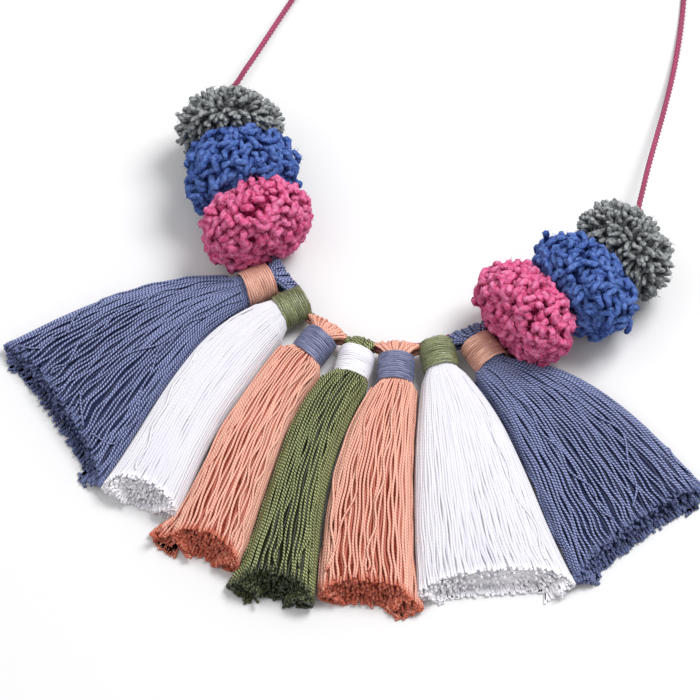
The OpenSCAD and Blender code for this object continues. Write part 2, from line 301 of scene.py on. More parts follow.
neck_z, pom_z = wrap_d / 2, pom_d / 2 - 0.001
neck_depth = 0.250
clasp_d, clasp_l = 0.006, 0.016
neck_route = [  # shares of the way out, of the way to the clasp, and of the height that is left
    (0.995, 0.045, 0.95), (0.985, 0.080, 0.90), (0.973, 0.120, 0.82), (0.962, 0.165, 0.72), (0.950, 0.220, 0.59),
    (0.935, 0.285, 0.42), (0.905, 0.385, 0.18), (0.858, 0.490, 0.02), (0.795, 0.590, 0.00), (0.705, 0.690, 0.00),
    (0.595, 0.780, 0.00), (0.460, 0.862, 0.00), (0.325, 0.930, 0.05), (0.210, 0.980, 0.11),
]


def side_bends(side):
    """The points where the cord bends, from the middle tassel's loop out to the last pompom's far face."""
    steps = [(tassels[3 + side * i].head * wrap_d + piece_gap, tassels[3 + side * i].climb) for i in (1, 2, 3)]
    steps += [(p.thick * pom_t, p.climb) for p in pompoms[side]]
    lifts = [0, 0, 0, 0.2] + [p.lift for p in pompoms[side]]
    bends = [Vector((side * (tassels[3].head * wrap_d + piece_gap) / 2, -neck_depth / 2, 0))]
    for length, climb in steps:
        climb = math.radians(climb)
        bends.append(bends[-1] + length * Vector((side * math.cos(climb), math.sin(climb), 0)))
    return [Vector((b.x, b.y, mix(neck_z, pom_z, lift))) for b, lift in zip(bends, lifts)]


def smooth_route(points, samples):
    """A smooth curve through points, as in the CAD model."""
    route = []
    for i in range(len(points) - 1):
        a, b = points[max(0, i - 1)], points[i]
        c, d = points[i + 1], points[min(len(points) - 1, i + 2)]
        for step in range(samples):
            t = step / samples
            squared, cubed = 2 * a - 5 * b + 4 * c - d, 3 * b - a - 3 * c + d
            route.append((2 * b + (c - a) * t + squared * t ** 2 + cubed * t ** 3) / 2)
    return route + [points[-1]]


def neck_cord_route(side):
    """From the last pompom, down to the table and back to the clasp."""
    before, out = bends[side][5], bends[side][6]
    clasp_end = Vector((side * clasp_l / 2, neck_depth / 2, clasp_d / 2))
    way = [out + (out - before).normalized() * cord_lead]
    for share, run, height in neck_route:
        way.append(Vector((out.x * share, mix(out.y, neck_depth / 2, run), mix(cord_d / 2, out.z, height))))
    way.append(clasp_end + Vector((side * cord_lead, 0, 0)))
    return [out] + smooth_route(way, 6) + [clasp_end]


bends = {side: side_bends(side) for side in (-1, 1)}

wire, size = start_tree("Laid cord", {
    "Strand width": 0.0012, "Strand offset": 0.00045, "Lay length": 0.0050, "Step": 0.0005, "Material": None,
})
line = wire.add("GeometryNodeMeshToCurve", values={"Mesh": size["Geometry"]})
line = wire.add("GeometryNodeResampleCurve", {"mode": "LENGTH"}, {"Curve": line, "Length": size["Step"]})
twist = wire.add("GeometryNodeSplineParameter", out="Length") / size["Lay length"] * (2 * math.pi)
line = wire.add("GeometryNodeSetCurveTilt", values={"Curve": line, "Tilt": twist})
centres = wire.add("GeometryNodeCurvePrimitiveCircle", values={"Resolution": 3, "Radius": size["Strand offset"]})
strand = round_section(wire, size["Strand width"])
strands = wire.add("GeometryNodeInstanceOnPoints", values={"Points": centres, "Instance": strand})
end_tree(sweep(line, realized(strands)), size["Material"])
cord_tree = wire.tree


def material_start(name, **constants):
    """A new material: a wire in it, and its main shader with what is the same all over set on its sockets."""
    material = bpy.data.materials.new(name)
    material.use_nodes = True
    shader = material.node_tree.nodes["Principled BSDF"]
    for socket, value in constants.items():
        shader.inputs[socket.replace("_", " ")].default_value = value
    return material, Wire(material.node_tree), shader


def plug(material, shader, values):
    """Ends a material: links what changes over the surface into its shader."""
    for socket, value in values.items():
        material.node_tree.links.new(value.socket, shader.inputs[socket])
    return material


def blend(share, first, second):
    """Mixes two colours, each a wire or three numbers of 0 to 255."""
    first, second = (linear(*colour) if isinstance(colour, tuple) else colour for colour in (first, second))
    values = {"Factor_Float": share, "A_Color": first, "B_Color": second}
    return share.add("ShaderNodeMix", {"data_type": "RGBA"}, values, "Result_Color")


def places_on(wire):
    """The places on a piece, in metres."""
    return wire.add("ShaderNodeTexCoord", out="Object")


def strand_places(wire):
    """Round and along each strand of a swept piece, in turns and metres."""
    return axes(wire.add("ShaderNodeUVMap", {"uv_map": "strand_map"}))[:2]


def noise(places, scale, detail, out=0, **more):
    """Noise over a piece. With a W, it differs from one piece or strand to the next."""
    kind = {"noise_dimensions": "4D"} if "W" in more else {}
    values = {"Vector": places, "Scale": scale, "Detail": detail, **more}
    return places.add("ShaderNodeTexNoise", kind, values, out)


def bumped(height, strength, distance):
    return height.add("ShaderNodeBump", values={"Strength": strength, "Distance": distance, "Height": height})


cord_ply = 0.0016  # the length in which the fine plies of a strand turn once


def cord_material():
    material, wire, shader = material_start(
        "raspberry_cord", Roughness=0.62, Sheen_Weight=0.18, Sheen_Roughness=0.5
    )
    turn, along = strand_places(wire)
    plies = (turn * 3 - along / cord_ply).sine() * 0.5 + 0.5
    fibres = noise(places_on(wire), 900, 3)
    worn = noise(places_on(wire), 60, 2)
    # Painted shade: darker in the grooves where the fine plies turn, with random tone from fibre to fibre.
    colour = blend(plies * 0.6 + fibres * 0.4, (106, 12, 52), (178, 40, 98))
    colour = blend(worn * 0.35, colour, (208, 96, 136))
    normal = bumped(plies * 0.7 + fibres * 0.3, 0.7, 0.0003)
    return plug(material, shader, {"Base Color": colour, "Normal": normal})


raspberry = cord_material()
front_route = bends[-1][::-1] + bends[1]
front_cord = grow("cord_front", line_mesh("front", front_route), cord_tree, {"Material": raspberry})
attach(front_cord, "root")
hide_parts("front_cord")
for side, word in ((-1, "left"), (1, "right")):
    route = neck_cord_route(side)
    neck_cord = grow("cord_neck_" + word, line_mesh("neck", route), cord_tree, {"Material": raspberry})
    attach(neck_cord, "root")
    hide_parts("neck_cord_" + word)
    sum((b - a).length for a, b in zip(route, route[1:]))


# Tassels: a bundle of glossy two-ply thread, folded over the cord and cut off level, so that the fold is a loop
# behind the neck wrap and the rest is the skirt. The lower threads reach past the upper ones where they lie.
seams = [  # which way each line between two skirts runs at its start, at its thirds and at its end
    (-78, -54, -44, -38), (-42, -15, -7, -12), (-14, -12, 0, -6), (-18, 2, 4, 0),
    (-10, 3, 15, 16), (13, 18, 21, 23), (58, 42, 39, 43), (108, 76, 61, 58),
]
skirt_l, skirt_h, cut_slant = 0.082, 0.0135, 0.0045
head_h, seat = 0.0088, 0.58 * 0.0056
wrap_l, wrap_fit, core_r = 0.011, 0.00015, 0.00505
loop_inside, loop_waist, loop_filling = 0.002, 0.88, 1.12  # how a loop starts in its wrap, and fills it
seam_steps = 16
skirt_heights = [(0, 0.92), (0.15, 1), (0.45, 1), (0.8, 0.94), (1, 0.88)]
spills = [  # how far the lowest threads slide out past the skirt's left and right sides, at its end
    (0, 0), (0.001, 0), (0.010, 0), (0.005, 0), (0, 0.005), (0, 0.001), (0, 0),
]
side_share, spread_share, spread_early = 0.3, 0.06, 0.0012
cut_from, edge_ease, spill_from, spill_over = 0.8, 0.8, 0.7, 0.35
backs = [0, 0.0046, 0, 0.0004, 0, 0.0029, 0]  # how far the neck wrap lies back over the thread loop
reaches = [0.0072] * 5 + [0.0069, 0.0072]  # from inside the wrap to the loop's end
flares = [  # how far the loop spreads past the wrap's left and right sides
    (0.0032, 0.0056), (-0.0006, -0.0006), (0.0026, 0.0026), (0.0016, 0.0016), (0.0020, 0.0020), (-0.0006, -0.0006),
    (0.0056, 0.0032),
]
slants = [0.45, 0, 0, 0, 0, 0, -0.45]  # how much farther back the loop reaches at one side than at its middle
underside = [(0, 1, 0.3), (30, 0.95, 0.12), (60, 0.72, 0), (90, 0, 0)]


def lookup(place, table):
    """Straight lines between the rows of a table of (place, value)."""
    for (a, low), (b, high) in zip(table, table[1:]):
        if place <= b:
            return mix(low, high, (max(a, place) - a) / (b - a))
    return table[-1][1]


def loop_centre(k):
    middle = (front_route[k + 3] + front_route[k + 4]) / 2
    return Vector((middle.x, middle.y, 0))


def skirt_start(k):
    return loop_centre(k) + forward(tassels[k].turn) * (seat + wrap_l + 2 * wrap_fit)


def seam_line(s):
    """The line on the table that two neighbouring skirts share, in steps of a sixteenth of a skirt."""
    if s == 0:
        at = skirt_start(0) - rightward(tassels[0].turn) * wrap_d / 2
    elif s == 7:
        at = skirt_start(6) + rightward(tassels[6].turn) * wrap_d / 2
    else:
        at = (skirt_start(s - 1) + skirt_start(s)) / 2
    line = [at]
    for i in range(seam_steps + 2):
        turn = lookup((i + 0.5) / seam_steps, [(j / 3, seams[s][j]) for j in range(4)])
        line.append(line[-1] + forward(turn) * skirt_l / seam_steps)
    return line


seam_lines = [seam_line(s) for s in range(8)]


def seam_at(s, share):
    at = max(0, share) * seam_steps
    i = min(seam_steps, int(at))
    return mix(seam_lines[s][i], seam_lines[s][i + 1], at - i)


def skirt_outline(angle):
    """How far out and how high the bundle is at an angle, as shares: 180 is its left edge and 90 its top."""
    over = abs(math.sin(math.radians(angle)))
    out = math.cos(math.radians(angle))
    if angle >= 0:
        return math.copysign(abs(out) ** 0.85, out), mix(side_share, 1, over ** 0.75)
    below = min(-angle, 180 + angle)
    wide = lookup(below, [(a, x) for a, x, z in underside])
    return math.copysign(wide, out), lookup(below, [(a, z) for a, x, z in underside])


def skirt_point(k, t, angle, inset=0.0):
    """A point on the skirt's outside, or that far inside it, at share t of its length."""
    row = tassels[k]
    left, right = seam_at(k, t * row.cut_left), seam_at(k + 1, t * row.cut_right)
    spread = min(1, max(0, (t + (backs[k] + spread_early) / skirt_l) / spread_share))
    opened = math.sqrt(spread * (2 - spread))
    wide = (right - left).length
    along = Vector((right.y - left.y, left.x - right.x, 0)).normalized()
    straight = skirt_start(k) + forward(row.turn) * t * skirt_l
    centre = mix(straight, (left + right) / 2, opened)
    half = mix(rightward(row.turn) * core_r, (right - left) / 2 * (1 - piece_gap / wide), opened)
    tall = skirt_h * row.tall * lookup(t, skirt_heights)
    cut = ease((t - cut_from) / (1 - cut_from))
    out, high = skirt_outline(angle)
    u = mix(math.cos(math.radians(angle)), out, opened) * (1 - inset / half.length)
    half_tall = mix(core_r, tall / 2, opened)
    z = mix(core_r * math.sin(math.radians(angle)), tall * (high - 0.5), opened) * (1 - inset / half_tall)
    z += mix(neck_z, tall / 2, opened)
    askew = cut * (1 - edge_ease * abs(out) ** 4) * cut_slant * z / tall
    spilt = ease((t - spill_from) / spill_over) * ease(abs(out) * 1.4 - 0.4) * max(0, 1 - z / tall / 0.5) ** 0.7
    aside = spilt * (-spills[k][0] if out < 0 else spills[k][1])
    at = centre + half * u - along * askew + half.normalized() * aside
    return Vector((at.x, at.y, max(0, z)))


def sheet_of(rows, first_place, shares):
    """Faces between rows of points, and each corner's place on the sheet: across it, and its row's share."""
    wide = len(rows[0])
    points = [p for row in rows for p in row]
    faces, places = [], []
    for r in range(len(rows) - 1):
        for c in range(wide - 1):
            a = r * wide + c
            faces.append((a, a + wide, a + wide + 1, a + 1))
            near, far = first_place + c / (wide - 1), first_place + (c + 1) / (wide - 1)
            places += [(near, shares[r]), (near, shares[r + 1]), (far, shares[r + 1]), (far, shares[r])]
    return points, faces, places


neck_share, past_share = -0.09, 1.09  # the skirt's sheet starts in the wrap, and runs past the cut
sheet_rows, sheet_columns = 56, 44
head_rows, head_columns = 12, 16
core_rows, core_end, core_inset = 20, 0.95, 0.0011
measured_at = 0.6  # where along a skirt its girth is taken


def half_turn(angle):
    """An angle, as one from -180 to 180."""
    return (angle + 180) % 360 - 180


def even_angles(k):
    """Angles round the skirt, from below and up the left side, evenly spaced where its girth is taken."""
    fine = [-90 - b for b in range(0, 361, 3)]
    ring = [skirt_point(k, measured_at, half_turn(a)) for a in fine]
    run = [0]
    for a, b in zip(ring, ring[1:]):
        run.append(run[-1] + (b - a).length)
    share = [r / run[-1] for r in run]
    return [lookup(c / sheet_columns, list(zip(share, fine))) for c in range(sheet_columns + 1)]


def head_point(k, x, angle):
    """A point on the thread loop: x is its place across, from -1 to 1, and the angle runs from above to below."""
    row = tassels[k]
    back, up = math.sin(math.radians(angle)), math.cos(math.radians(angle))
    ahead = seat + loop_inside - reaches[k] * (1 - 0.2 * x * x + max(0, slants[k] * x)) * back
    behind = max(0, seat - wrap_fit - ahead)
    wide = mix(loop_waist * core_r, row.head * wrap_d / 2 + flares[k][0 if x < 0 else 1], ease(behind / 0.002))
    filling = loop_filling if backs[k] > loop_inside else 1  # where the wrap lies back over the loop
    high = filling * head_h / 2 * math.sqrt(1 - 0.8 * x * x) * math.copysign(abs(up) ** 0.6, up)
    at = loop_centre(k) + forward(row.turn) * ahead + rightward(row.turn) * wide * x
    return Vector((at.x, at.y, neck_z + high))


def mark_inner(mesh, outer):
    """Marks every face of a mesh as inner, but for that many at its start."""
    mark = mesh.attributes.new("inner", "BOOLEAN", "FACE")
    mark.data.foreach_set("value", [i >= outer for i in range(len(mesh.polygons))])


def tassel_sheets(k):
    """The sheets that a tassel's threads lie on, and the solid core under them."""
    angles = [half_turn(a) for a in even_angles(k)]
    shares = [mix(neck_share, past_share, r / sheet_rows) for r in range(sheet_rows + 1)]
    skirt = [[skirt_point(k, t, a) for a in angles] for t in shares]
    across = [2 * c / head_columns - 1 for c in range(head_columns + 1)]
    over = [r / head_rows for r in range(head_rows + 1)]
    head = [[head_point(k, x, 180 - 180 * o) for x in across] for o in over]
    points, faces, places = sheet_of(skirt, 0, shares)
    more, more_faces, more_places = sheet_of(head, 2, over)
    faces += [tuple(i + len(points) for i in f) for f in more_faces]
    points, places = points + more, places + more_places
    laid = len(faces)
    core = [
        [skirt_point(k, mix(neck_share, core_end, r / core_rows), a, core_inset) for a in angles[:-1:2]]
        for r in range(core_rows + 1)
    ]
    first, wide = len(points), len(core[0])
    points += [p for ring in core for p in ring]
    for r in range(core_rows):
        for c in range(wide):
            a, b = first + r * wide + c, first + r * wide + (c + 1) % wide
            faces.append((a, a + wide, b + wide, b))
    faces.append(tuple(first + c for c in range(wide)))
    faces.append(tuple(first + core_rows * wide + c for c in reversed(range(wide))))
    mesh = bpy.data.meshes.new("tassel_sheets")
    mesh.from_pydata([tuple(p) for p in points], [], faces)
    lay = mesh.uv_layers.new(name="lay")
    places += [(-1, -1)] * (len(lay.data) - len(places))
    lay.data.foreach_set("uv", [v for place in places for v in place])
    mark_inner(mesh, laid)
    return mesh


def inner_and_outer(geometry):
    chosen = named(geometry, "inner", "BOOLEAN")
    split = geometry.add(
        "GeometryNodeSeparateGeometry", {"domain": "FACE"}, {"Geometry": geometry, "Selection": chosen}
    )
    return split, split.other("Inverted")


def lifted(place, least):
    """A place, brought up to that height if it is lower."""
    x, y, z = axes(place)
    return vector(place, X=x, Y=y, Z=place.math("MAXIMUM", z, least))


def moved_to(geometry, place):
    return geometry.add("GeometryNodeSetPosition", values={"Geometry": geometry, "Position": place})


def crowned(tubes):
    """Marks how much each part of a tube faces upwards, or outwards from the bundle or ball that it lies on. The
    materials paint shade and highlight by this mark.
    """
    normal = tubes.add("GeometryNodeInputNormal")
    outward = normal.vector_math("DOT_PRODUCT", named(tubes, "up", "FLOAT_VECTOR"), out="Value")
    return store(tubes, "crown", tubes.math("MAXIMUM", outward, axes(normal)[2]))


def chance(wire, low, high, seed, **more):
    """A random number between two others, for each thread, strand or fibre."""
    values = {"Min_001": low, "Max_001": high, "Seed": seed, **more}
    return wire.add("FunctionNodeRandomValue", {"data_type": "FLOAT"}, values, "Value_001")


edge_margin = 0.002  # threads stay this far from a sheet's edges, as a share of it
cut_part = 40  # the last fortieth of a thread is its cut end


def lay_threads(
    sheet, number, width, across, along, depth, wander, ragged, seed, points,
    slope=0.0, cut=0.0, under=0.0, loose=1.0,
):
    """Threads side by side on a sheet, each at its own depth under it, wandering a little from side to side.

    Across holds the first and last thread's place on the sheet, and how far they may wander on either side.
    With a slope, the deeper ones end later, and only those on top of the bundle lie deep. Where cut is 1, all of a
    thread counts as its cut end. With an under, every second thread lies that much deeper than its neighbours, and
    all sway together and are squeezed thin at the neck. The looser they are, the less even is their spacing.
    """
    line = sheet.add("GeometryNodeCurvePrimitiveLine", values={"Start": (0, 0, 0), "End": (1, 0, 0)})
    line = sheet.add("GeometryNodeResampleCurve", values={"Curve": line, "Count": points})
    lines = sheet.add("GeometryNodeDuplicateElements", {"domain": "SPLINE"}, {"Geometry": line, "Amount": number})
    which = lines.other("Duplicate Index")

    def pick(low, high, salt):
        return chance(sheet, low, high, seed + salt, ID=which)

    def sample(place, share, value):
        spot = vector(sheet, X=place, Y=share)
        lay = named(sheet, "lay", "FLOAT_VECTOR")
        return sheet.add(
            "GeometryNodeSampleUVSurface", {"data_type": "FLOAT_VECTOR"},
            {"Mesh": sheet, "Source UV Map": lay, "Sample UV": spot, "Value": sheet.add(value)},
        )

    def wave(slowest, fastest, salt):
        return (run * pick(slowest, fastest, salt) + pick(0.0, 1.0, salt + 1)).sine()

    run = sheet.add("GeometryNodeSplineParameter", out="Factor")
    place = (which + pick(0.5 - loose / 2, 0.5 + loose / 2, 5)) / number * (across[1] - across[0]) + across[0]
    lower = sheet.math("MODULO", which, 2.0) if under else 0.0
    deep = pick(depth[0], depth[1], 8) + lower * under
    if slope:
        facing = sample(place, along[1], "GeometryNodeInputNormal")
        deep = deep * sheet.math("MAXIMUM", axes(facing)[2], 0.0)
    ends = along[1] - pick(0.0, ragged, 2) + deep * slope
    share = run * (ends - along[0]) + along[0]
    sway = wave(0.4, 1.4, 10) * run * pick(0.2, 1.0, 4) + wave(3.0, 6.0, 12) * (0.7 if under else 0.12)
    squeezed = 1.0
    if under:
        sway = sway + (place * 5 + run * 0.8 + seed * 0.37).sine() * run * 1.2
        squeezed = sheet.math("MINIMUM", run * 0.9 + 0.62, 1.0)
    place = (place + sway * wander).held(across[2] + edge_margin, across[3] - edge_margin)
    at = sample(place, share, "GeometryNodeInputPosition")
    normal = sample(place, share, "GeometryNodeInputNormal")
    sunk = (deep * (wave(1.0, 3.0, 14) * 0.2 + 1) + width / 2) * -1
    sunk = normal.vector_math("MULTIPLY_ADD", vector(sheet, X=sunk, Y=sunk, Z=sunk), at)
    lines = moved_to(lines, lifted(sunk, width / 2))
    lines = store(lines, "shade", pick(0.0, 1.0, 9))
    # Which threads lie lower and which way is out from the sheet, kept for the painted shade in the materials.
    lines = store(lines, "lower", lower)
    lines = store(lines, "up", normal, "FLOAT_VECTOR")
    lines = store(lines, "cut", sheet.math("MAXIMUM", run * cut_part - (cut_part - 1), cut))
    return crowned(sweep(lines, round_section(sheet, width), squeezed))


wire, size = start_tree("Thread bundle", {
    "Threads": 160, "Loop threads": 48, "Cut ends": 620, "Strays": 6, "Thread width": 0.001, "Wander": 0.006,
    "Depth": 0.0003, "Under": 0.0006, "Top from": 0.10, "Top to": 0.90, "Seed": 1, "Thread": None, "Core": None,
})
core, sheet = inner_and_outer(size["Geometry"])
width, top, seed = size["Thread width"], (size["Top from"], size["Top to"], 0.0, 1.0), size["Seed"] * 31
full = lay_threads(
    sheet, size["Threads"], width, across=(0.0, 1.0, 0.0, 1.0), along=(neck_share + edge_margin, 0.995),
    depth=(0.0, size["Depth"]), wander=size["Wander"], ragged=0.02, seed=seed, points=28,
    under=size["Under"], loose=0.5,
)
row_margin = 0.0001  # on an edge between two rows of the loop's sheet, either row's slant could be taken
loops = lay_threads(
    sheet, size["Loop threads"], width, across=(2.02, 2.98, 2.0, 3.0), along=(row_margin, 1 - row_margin / 100),
    depth=(0.0, 0.0012), wander=0.02, ragged=0.0, seed=seed + 200, points=13,
)
ends = lay_threads(
    sheet, size["Cut ends"], width, across=top, along=(0.95, 0.992),
    depth=(0.0006, 0.0125), wander=0.008, ragged=0.016, seed=seed + 400, points=3,
    slope=cut_slant / skirt_l / skirt_h, cut=0.75,
)
strays = lay_threads(
    sheet, size["Strays"], width * 0.9, across=top, along=(0.03, 0.99),
    depth=(-0.0006, -0.0002), wander=0.09, ragged=0.1, seed=seed + 600, points=28,
)
bundle = wire.add("GeometryNodeJoinGeometry", values={"Geometry": [core, full, loops, ends, strays]})
end_tree(bundle, size["Thread"], size["Core"])
tassel_tree = wire.tree


def reading(wire, name):
    """What the trees have stored on a piece under a name."""
    return wire.add("ShaderNodeAttribute", {"attribute_name": name}, out="Fac")


thread_ply = 0.0011  # the length in which its two plies turn once


def thread_material(name, dark, middle, light, cut, roughness, gloss, beads, streaks=0.22):
    """Two-ply thread: painted shade in the grooves beside it and on the lower threads, and a painted highlight
    bead wherever a ply turns up.

    Streaks is how much darker one thread may be than the next.
    """
    material, wire, shader = material_start(
        name, Roughness=roughness, Specular_IOR_Level=gloss, Sheen_Weight=0.05, Sheen_Roughness=0.4
    )
    turn, along = strand_places(wire)
    shade, crown, ending, lower = (reading(wire, mark) for mark in ("shade", "crown", "cut", "lower"))
    plies = (turn * 2 + along / thread_ply + shade * 17).sine() * 0.5 + 0.5
    # Painted highlight: a bead of the light colour wherever a ply turns up.
    colour = blend(plies ** 1.5 * beads + (1 - beads) * 0.5, middle, light)
    # Painted shade: the dark colour where a thread turns away from the top of its bundle, in the grooves beside
    # it.
    colour = blend((crown * 2.2 - 0.95).held(), dark, colour)
    # Random tone from thread to thread, and painted shade on the lower thread of each pair.
    colour = blend(wire.math("MAXIMUM", shade * streaks, lower * 0.9), colour, dark)
    dull = 1 - (shade > 0.78) * 0.7  # about one end in five shows little of its cut
    colour = blend(wire.math("MAXIMUM", ending, 0.0) * 0.85 * dull, colour, cut)
    return plug(material, shader, {"Base Color": colour, "Normal": bumped(plies, 0.6 * beads, 0.0002)})


def core_material(name, colour, hollow=0.4):
    """The inside of a bundle or ball, seen only between its threads. Its hollows are painted darker, by a share,
    as shade.
    """
    material, wire, shader = material_start(name, Roughness=0.9, Specular_IOR_Level=0.1)
    cells = wire.add("ShaderNodeTexVoronoi", values={"Vector": places_on(wire), "Scale": 1100}, out="Distance")
    # Painted shade: darker in the hollows between the cells.
    hollow_shaded = blend(wire.math("MINIMUM", cells, 1.0), colour, tuple(c * hollow for c in colour))
    return plug(material, shader, {"Base Color": hollow_shaded})


# Each look: a dark colour for painted shade and darker streaks, the thread's middle colour, a light colour for its
# painted highlights, the colour of its cut ends, then roughness, gloss, beads and, for white, streaks.
thread_looks = {
    "periwinkle": ((16, 24, 62), (50, 60, 108), (160, 170, 210), (92, 102, 144), 0.5, 0.4, 0.95),
    "white": ((206, 204, 213), (213, 212, 219), (220, 219, 224), (240, 238, 242), 0.7, 0.2, 0.3, 0.2),
    "salmon": ((170, 84, 64), (204, 130, 112), (248, 208, 186), (184, 90, 66), 0.5, 0.35, 0.62),
    "olive": ((6, 12, 1), (22, 36, 2), (174, 180, 116), (38, 47, 18), 0.4, 0.5, 1.0),
}
threads = {colour: thread_material(colour + "_thread", *look) for colour, look in thread_looks.items()}
# Painted shade: most cores are darker than their threads, standing in for the deep threads in shade; the white one
# is not.
cores = {
    "periwinkle": core_material("periwinkle_core", (46, 54, 92)),
    "white": core_material("white_core", (248, 246, 250), 0.85),
    "salmon": core_material("salmon_core", (150, 62, 44)),
    "olive": core_material("olive_core", (38, 46, 18)),
}
skirt_colours = ["periwinkle", "white", "salmon", "olive", "salmon", "white", "periwinkle"]
thread_sizes = {
    "periwinkle": {"Thread width": 0.00102, "Wander": 0.005},
    "white": {"Thread width": 0.00094, "Wander": 0.003, "Strays": 1, "Depth": 0.0002, "Under": 0.0002},
    "salmon": {"Thread width": 0.00100, "Wander": 0.007},
    "olive": {"Thread width": 0.00106, "Wander": 0.006},
}
spacings = {"periwinkle": 0.00064, "white": 0.00048, "salmon": 0.00061, "olive": 0.00068}  # between threads

for k, colour in enumerate(skirt_colours):
    ring = [skirt_point(k, measured_at, a) for a in range(-180, 181, 3)]
    girth = sum((b - a).length for a, b in zip(ring, ring[1:]))
    tassel = grow(f"tassel_{k + 1}_threads", tassel_sheets(k), tassel_tree, {
        **thread_sizes[colour], "Threads": round(girth / spacings[colour]), "Seed": k + 1,
        "Thread": threads[colour], "Core": cores[colour],
    })
    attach(tassel, "root")
    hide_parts(f"tassel_{k + 1}")


# Neck wraps: glossy thread of a second colour, wound round each bundle's neck in thirteen or fourteen tight turns.
# It lies a little unevenly, and thicker in the middle than at its ends.
wire, size = start_tree("Wound thread", {
    "Turns": 13.5, "Radius": 0.0055, "Length": 0.0101, "Thread width": 0.00092, "Place": (0.0, 0.0, 0.0),
    "Turned": (0.0, 0.0, 0.0), "Seed": 1, "Material": None,
})
coil = wire.add("GeometryNodeCurveSpiral", values={
    "Resolution": 30, "Rotations": size["Turns"], "Start Radius": size["Radius"], "End Radius": size["Radius"],
    "Height": size["Length"],
})
here = wire.add("GeometryNodeInputPosition")
x, y, z = axes(here)
drift = noise(here, 160, 1, W=size["Seed"] * 3.7)
swell = noise(vector(wire, X=x, Y=y, Z=z * 7), 200, 1, W=size["Seed"] * 1.3)
barrel = wire.math("SINE", z / size["Length"] * math.pi) * 0.035
bulge = (swell - 0.5) * 0.12 + 1 + barrel
coil = moved_to(coil, vector(wire, X=x * bulge, Y=y * bulge, Z=z + (drift - 0.5) * 0.0018))
coil = store(coil, "shade", (swell - 0.3) * 2)
# Which way is out from the neck, kept for the painted shade between the turns.
coil = store(coil, "up", vector(wire, X=x, Y=y).vector_math("NORMALIZE"), "FLOAT_VECTOR")
wound = wire.add("GeometryNodeTransform", values={
    "Geometry": crowned(sweep(coil, round_section(wire, size["Thread width"]))),
    "Translation": size["Place"], "Rotation": size["Turned"],
})
end_tree(moved_to(wound, lifted(here, 0.0)), size["Material"])
wrap_tree = wire.tree

# The same columns as the threads' looks: a dark colour for painted shade and darker streaks, the middle colour, a
# light colour for painted highlights, the cut, roughness, gloss, beads and streaks.
winding_looks = {
    "periwinkle": ((34, 40, 78), (84, 88, 127), (172, 178, 210), (40, 46, 84), 0.34, 0.6, 0.3, 0.85),
    "white": ((186, 182, 194), (228, 226, 233), (250, 250, 254), (186, 182, 194), 0.6, 0.3, 0.1, 0.4),
    "salmon": ((146, 76, 60), (212, 146, 128), (255, 218, 196), (146, 76, 60), 0.34, 0.6, 0.3, 0.8),
    "olive": ((40, 50, 20), (88, 96, 58), (188, 194, 148), (48, 58, 26), 0.34, 0.6, 0.5, 0.85),
}
windings = {colour: thread_material(colour + "_winding", *look) for colour, look in winding_looks.items()}
wrap_colours = ["salmon", "olive", "periwinkle", "white", "periwinkle", "olive", "salmon"]
winding_inset = 0.0005  # from the wrap's face to the middle of its first turn
for k, colour in enumerate(wrap_colours):
    start = loop_centre(k) + forward(tassels[k].turn) * (seat + wrap_fit + winding_inset - backs[k])
    wrap = grow(f"neck_wrap_{k + 1}_winding", bpy.data.meshes.new("winding"), wrap_tree, {
        "Place": (start.x, start.y, neck_z), "Turned": (math.pi / 2, 0.0, math.radians(tassels[k].turn)),
        "Seed": k + 1, "Material": windings[colour],
    })
    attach(wrap, "root")
    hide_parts(f"neck_wrap_{k + 1}")


# Pompoms: short lengths of soft yarn tied round the middle and fluffed out into a ball, with the cord through it.
# They squeeze one another flat along the cord. Pink is a fat curly yarn, blue a longer crinkled one, and grey a
# thin one that is cut short.
pom_bulge, pom_fullness = 0.0125, 0.8
rings, sides = 18, 30


def pompom_ball(side, n, share):
    """A pompom's outer form, drawn in to a share of its size: it is flat where it meets its neighbours."""
    rows = pompoms[side]
    row, start, end = rows[n], bends[side][n + 3], bends[side][n + 4]
    start, end = Vector((start.x, start.y, 0)), Vector((end.x, end.y, 0))
    facing = math.radians(row.facing)
    axis = Vector((side * math.cos(facing), math.sin(facing), 0))
    across = Vector((-axis.y, axis.x, 0))
    centre = mix(start, end, row.centre) - side * row.aside * pom_d * across
    lean = [
        0 if n == 0 else side * math.radians(row.facing - rows[n - 1].facing) / 2,
        0 if n == 2 else side * math.radians(rows[n + 1].facing - row.facing) / 2,
    ]
    to_near, to_far = centre - start, end - centre
    halves = [
        to_near @ axis - (to_near @ across) * math.tan(lean[0]) - piece_gap / 2,
        pom_bulge if n == 2 else to_far @ axis + (to_far @ across) * math.tan(lean[1]) - piece_gap / 2,
    ]
    points = []
    for i in range(1, rings):
        polar = math.pi * i / rings
        f = 0 if math.cos(polar) > 0 else 1
        for j in range(sides):
            turn = 2 * math.pi * (j + (i % 2) / 2) / sides
            r = pom_d / 2 * math.sin(polar) ** pom_fullness
            q = r * math.cos(turn)
            flat = -math.copysign(abs(math.cos(polar)) ** pom_fullness, math.cos(polar))
            s = flat * (halves[f] - q * math.tan(lean[f]))
            at = centre + (axis * s + across * q) * share
            points.append(Vector((at.x, at.y, max(0, pom_z + r * math.sin(turn) * share))))
    last = len(points) - sides
    for s in (-halves[0], halves[1]):
        at = centre + axis * s * share
        points.append(Vector((at.x, at.y, pom_z)))
    faces = []
    for i in range(rings - 2):
        for j in range(sides):
            a, b = i * sides + j, i * sides + (j + 1) % sides
            faces.append((a, b, b + sides, a + sides))
    for j in range(sides):
        faces.append((len(points) - 2, (j + 1) % sides, j))
        faces.append((len(points) - 1, last + j, last + (j + 1) % sides))
    return points, faces


